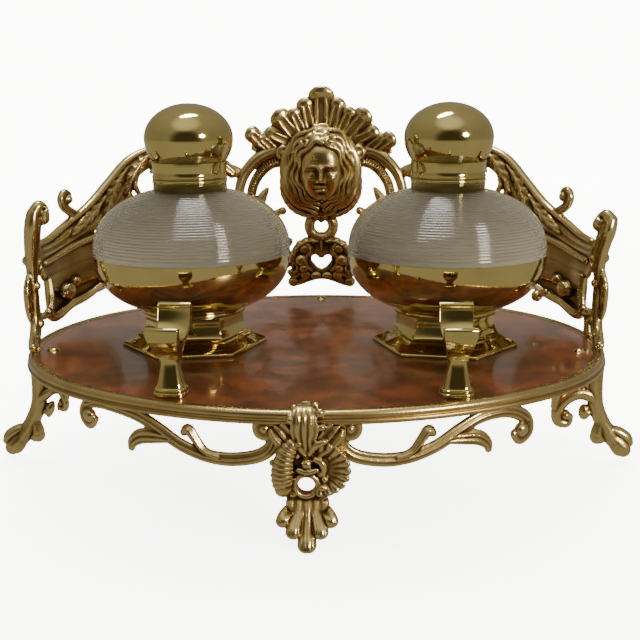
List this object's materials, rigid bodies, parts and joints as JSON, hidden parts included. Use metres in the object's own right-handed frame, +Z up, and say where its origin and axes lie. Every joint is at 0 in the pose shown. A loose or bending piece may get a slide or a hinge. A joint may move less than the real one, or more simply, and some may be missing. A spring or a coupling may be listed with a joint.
{
  "type": "desk inkstand",
  "caption": "Desk inkstand: oval board in a cast brass rim on scrolled feet, pierced gallery with a mask, reeded glass wells with hinged ball lids, and pen rests.",
  "frame": {"origin": "on the table under the middle of the oval", "axes": "+X to the right along the oval, +Y to the gallery at the back, +Z up"},
  "size_m": [0.2896, 0.229, 0.1655],
  "materials": {
    "polished_brass": "polished and lacquered sheet brass",
    "cast_brass": "gilt cast brass, darkened in the hollows",
    "dull_brass": "turned brass left dull",
    "polished_wood": "French polished reddish wood",
    "reeded_glass": "clear pressed glass with fine reeds"
  },
  "bodies": {
    "stand": {"board": "polished_wood", "rim": "cast_brass", "front_foot": "cast_brass", "back_foot": "cast_brass", "left_foot": "cast_brass", "right_foot": "cast_brass", "front_scroll_left": "cast_brass", "front_scroll_right": "cast_brass", "foot_screws": "polished_brass", "gallery_centre": "cast_brass", "gallery_left": "cast_brass", "gallery_right": "cast_brass", "gallery_screws": "polished_brass", "post_screws": "polished_brass", "well_foot_left": "polished_brass", "well_foot_right": "polished_brass", "bowl_left": "polished_brass", "bowl_right": "polished_brass", "glass_left": "reeded_glass", "glass_right": "reeded_glass", "neck_mount_left": "polished_brass", "neck_mount_right": "polished_brass", "hinge_pin_left": "polished_brass", "hinge_pin_right": "polished_brass", "well_bolts": "dull_brass", "well_washers": "dull_brass", "well_nuts": "dull_brass", "pen_rest_left": "polished_brass", "pen_rest_right": "polished_brass", "pen_rest_nuts": "dull_brass"},
    "left_lid": {"lid_collar_left": "polished_brass", "lid_ball_left": "polished_brass"},
    "right_lid": {"lid_collar_right": "polished_brass", "lid_ball_right": "polished_brass"}
  },
  "joints": [
    {"name": "left_lid_hinge", "type": "hinge", "parent": "stand", "child": "left_lid", "pos_m": [-0.05605, 0.0169, 0.1276], "axis": [-1, 0, 0], "range_deg": [0, 105]},
    {"name": "right_lid_hinge", "type": "hinge", "parent": "stand", "child": "right_lid", "pos_m": [0.05965, 0.0169, 0.1276], "axis": [-1, 0, 0], "range_deg": [0, 105]}
  ]
}
